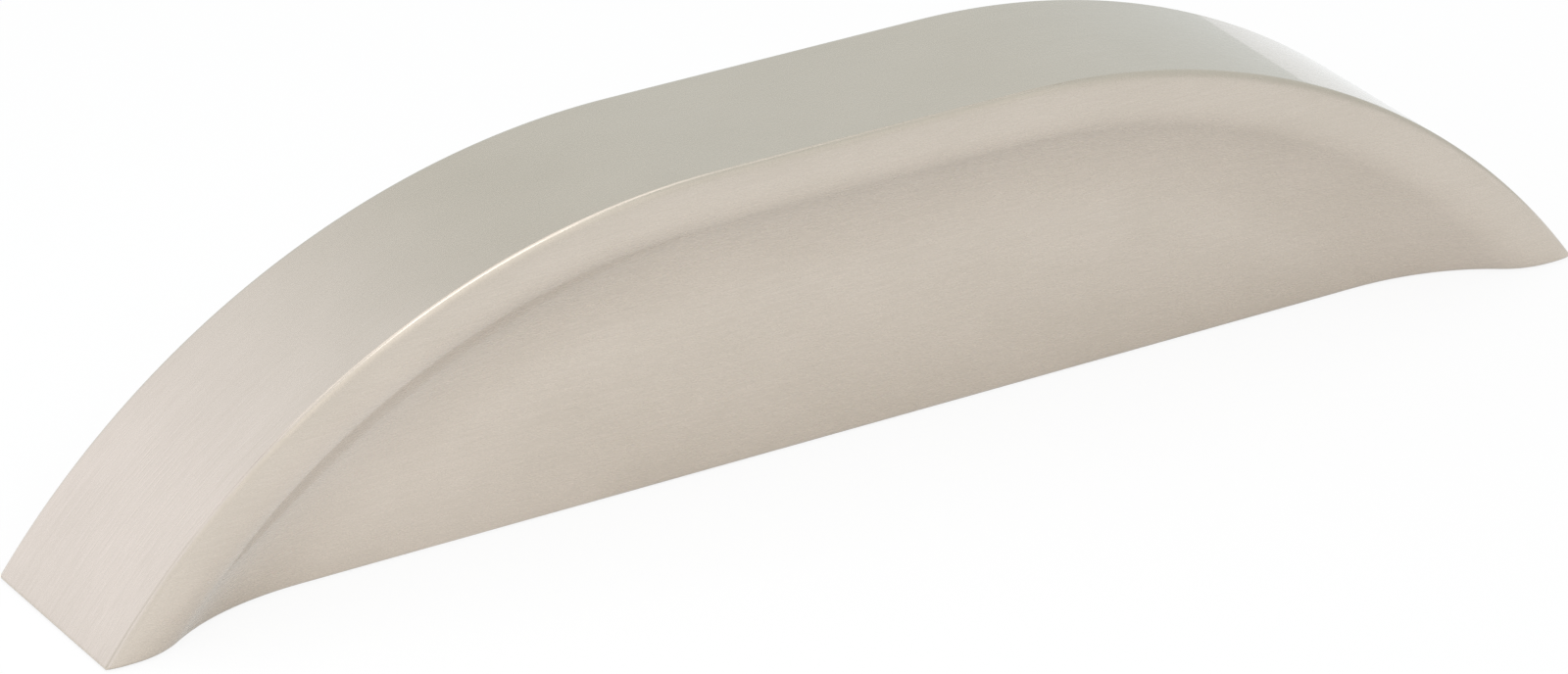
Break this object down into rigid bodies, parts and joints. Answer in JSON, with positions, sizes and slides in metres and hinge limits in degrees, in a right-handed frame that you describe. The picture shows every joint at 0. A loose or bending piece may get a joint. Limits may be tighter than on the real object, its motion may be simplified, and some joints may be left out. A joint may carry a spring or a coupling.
{
  "type": "cabinet pull",
  "caption": "Arched cabinet pull with a dished front panel, an open back for the fingers and bored screw bosses on its mounting face.",
  "frame": {"origin": "middle of the mounting face, in the middle of the outline", "axes": "+X from foot to foot, +Y from the dished front panel to the open back, +Z from the mounting face to the crown"},
  "size_m": [0.1216, 0.0159, 0.0244],
  "materials": {
    "satin_nickel": "satin brushed nickel plate over a zinc casting, brushed along its length"
  },
  "bodies": {
    "root": {"pull_body": "satin_nickel"}
  },
  "joints": []
}
